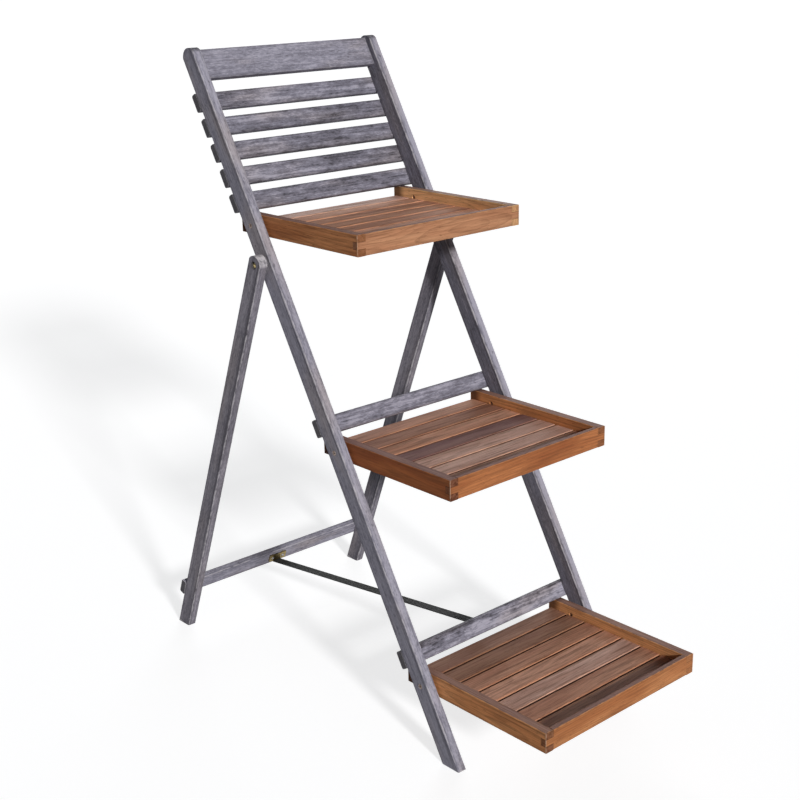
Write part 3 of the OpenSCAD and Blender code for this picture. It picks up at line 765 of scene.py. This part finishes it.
STRAP_OFF = STRAP_CLEAR + STRAP_THICKNESS / 2
REAR_PLATE_U = LEG_LENGTH - REAR_BAR_UP - REAR_BAR_HEIGHT + (REAR_BAR_HEIGHT - PLATE_HEIGHT) / 2
strap_corners = [
    on_leg(REAR_PLATE_U + STRAP_HELD, LEG_DEPTH / 2 - STRAP_OFF),
    on_leg(REAR_PLATE_U + PLATE_HEIGHT + STRAP_LEAVE, LEG_DEPTH / 2 - STRAP_OFF),
    on_side(FRONT_PLATE_S - STRAP_LEAVE, STILE_DEPTH + BAR_THICKNESS + STRAP_OFF),
    on_side(FRONT_PLATE_S + PLATE_HEIGHT - STRAP_HELD,
            STILE_DEPTH + BAR_THICKNESS + STRAP_OFF),
]
strap_line, strap_reach = even_steps(arc_corner(strap_corners, CORNER_RADIUS, CORNER_POINTS),
                                     STRAP_STEP)


# The strap is cut in three, so that it folds into a loop behind the bars when the legs fold.
# From the rear end, each end or cut has its place along the run from the front plate to the
# rear one, and its share of the legs' turn. With these places and shares the folded loop
# crosses neither itself nor a bar.
STRAP_CUTS = ((0.985, 1.0), (0.82, 0.78), (0.58, 0.38), (0.012, 0.0))
strap_front, strap_run = strap_corners[2], strap_corners[1] - strap_corners[2]
along_run = (strap_line - strap_front) @ strap_run / (strap_run @ strap_run)
cut_rows = [0] + [int(np.argmin(abs(along_run - place))) for place, _ in STRAP_CUTS[1:3]]
cut_rows.append(len(strap_line) - 1)
black_webbing = webbing("black_webbing")
for part, name in enumerate(("rear", "middle", "front")):
    rows = slice(cut_rows[part], cut_rows[part + 1] + 1)
    strap = strap_mesh("webbing_strap_" + name, strap_line[rows], strap_reach[rows],
                       STRAP_WIDTH, STRAP_SHOWN_THICKNESS, STRAP_EDGE)
    strap.data.materials.append(black_webbing)
    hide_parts("stay_strap")
    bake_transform(strap)

# ---- Studio ----

FLOOR_REACH = 40.0


def pale_floor():
    """Matt pale floor that shows near white to the camera and keeps the stand's shadow."""
    material, w, shader = new_material("pale_floor")
    place = w.object_place()
    mottle = w.noise(place, (3.0, 3.0, 3.0), detail=3.0)
    paths = w.tree.nodes.new("ShaderNodeLightPath").outputs
    plain = w.mix(mottle, colour(0.485, 0.495, 0.510), colour(0.500, 0.510, 0.525))
    w.feed(shader.inputs["Base Color"],
           w.mix(paths["Is Diffuse Ray"], plain, colour(0.300, 0.300, 0.310)))
    shader.inputs["Roughness"].default_value = 0.9
    shader.inputs["Specular IOR Level"].default_value = 0.1
    seen = w.math("MAXIMUM", w.math("MAXIMUM", paths["Is Camera Ray"], paths["Is Glossy Ray"]),
                  paths["Is Transmission Ray"])
    shader.inputs["Emission Color"].default_value = (1, 1, 1, 1)
    w.feed(shader.inputs["Emission Strength"], w.math("MULTIPLY", seen, 0.725))
    return material


floor_mesh = bpy.data.meshes.new("floor")
floor_mesh.from_pydata([(-FLOOR_REACH, -FLOOR_REACH, 0), (FLOOR_REACH, -FLOOR_REACH, 0),
                        (FLOOR_REACH, FLOOR_REACH, 0), (-FLOOR_REACH, FLOOR_REACH, 0)],
                       [], [(0, 1, 2, 3)])
floor = bpy.data.objects.new("floor", floor_mesh)
floor_mesh.materials.append(pale_floor())
bpy.context.scene.collection.objects.link(floor)

FILL_LIGHT = 0.075
world = bpy.data.worlds.new("studio")
world.use_nodes = True
room = Wiring(world.node_tree)
world.node_tree.nodes.clear()
paths = world.node_tree.nodes.new("ShaderNodeLightPath").outputs
seen = room.math("MAXIMUM", paths["Is Camera Ray"], paths["Is Transmission Ray"])
background = room.add(
    "ShaderNodeBackground",
    {"Color": room.mix(seen, colour(0.90, 0.95, 1.0), colour(1.0, 1.0, 1.0)),
     "Strength": room.math("ADD", FILL_LIGHT, room.math("MULTIPLY", seen, 1 - FILL_LIGHT))})
room.add("ShaderNodeOutputWorld", {"Surface": background.outputs[0]})
bpy.context.scene.world = world


def far_lamp(name, heading, height, level, spread, tint):
    """Soft lamp at a compass heading, seen from the stand, and height, both in degrees.

    Level 1 shows a matt surface that faces the lamp at the colour it is given.
    """
    heading, height = math.radians(heading), math.radians(height)
    toward = Vector((math.sin(heading) * math.cos(height), math.cos(heading) * math.cos(height),
                     math.sin(height)))
    lamp = bpy.data.lights.new(name, "SUN")
    lamp.energy = level * math.pi
    lamp.angle = math.radians(spread)
    lamp.color = tint
    holder = bpy.data.objects.new(name, lamp)
    holder.rotation_euler = (-toward).to_track_quat("-Z", "Y").to_euler()
    bpy.context.scene.collection.objects.link(holder)


# The key stands in front, a little to the left and rather low; the other lights the sides
# turned away from it
far_lamp("key", 197, 22, 0.98, 6, (1.0, 0.975, 0.95))
far_lamp("back_fill", 45, 6.5, 0.66, 40, (0.97, 0.98, 1.0))

# ---- Camera at the photograph's viewing angle ----

HEADING = math.radians(42.55)
PITCH = math.radians(19.01)
ROLL = -0.0152
CAMERA_PLACE = (-1.7244, -1.5642 - ORIGIN_Y, 1.4086)
FOCAL_PIXELS = 1402.7
IMAGE_PIXELS = 800
MIDDLE_PIXELS = (427.28, 423.30)

forward = Vector((math.sin(HEADING) * math.cos(PITCH), math.cos(HEADING) * math.cos(PITCH),
                  -math.sin(PITCH)))
level = Vector((math.cos(HEADING), -math.sin(HEADING), 0))
upward = level.cross(forward)
right = level * math.cos(ROLL) + upward * math.sin(ROLL)
up = upward * math.cos(ROLL) - level * math.sin(ROLL)

camera_data = bpy.data.cameras.new("camera")
camera_data.sensor_width = 36
camera_data.lens = FOCAL_PIXELS / IMAGE_PIXELS * camera_data.sensor_width
camera_data.shift_x = (IMAGE_PIXELS / 2 - MIDDLE_PIXELS[0]) / IMAGE_PIXELS
camera_data.shift_y = (MIDDLE_PIXELS[1] - IMAGE_PIXELS / 2) / IMAGE_PIXELS
camera = bpy.data.objects.new("camera", camera_data)
turned = Matrix((right, up, -forward)).transposed().to_4x4()
camera.matrix_world = Matrix.Translation(CAMERA_PLACE) @ turned
bpy.context.scene.collection.objects.link(camera)
bpy.context.scene.camera = camera

bpy.context.scene.view_settings.view_transform = "Standard"
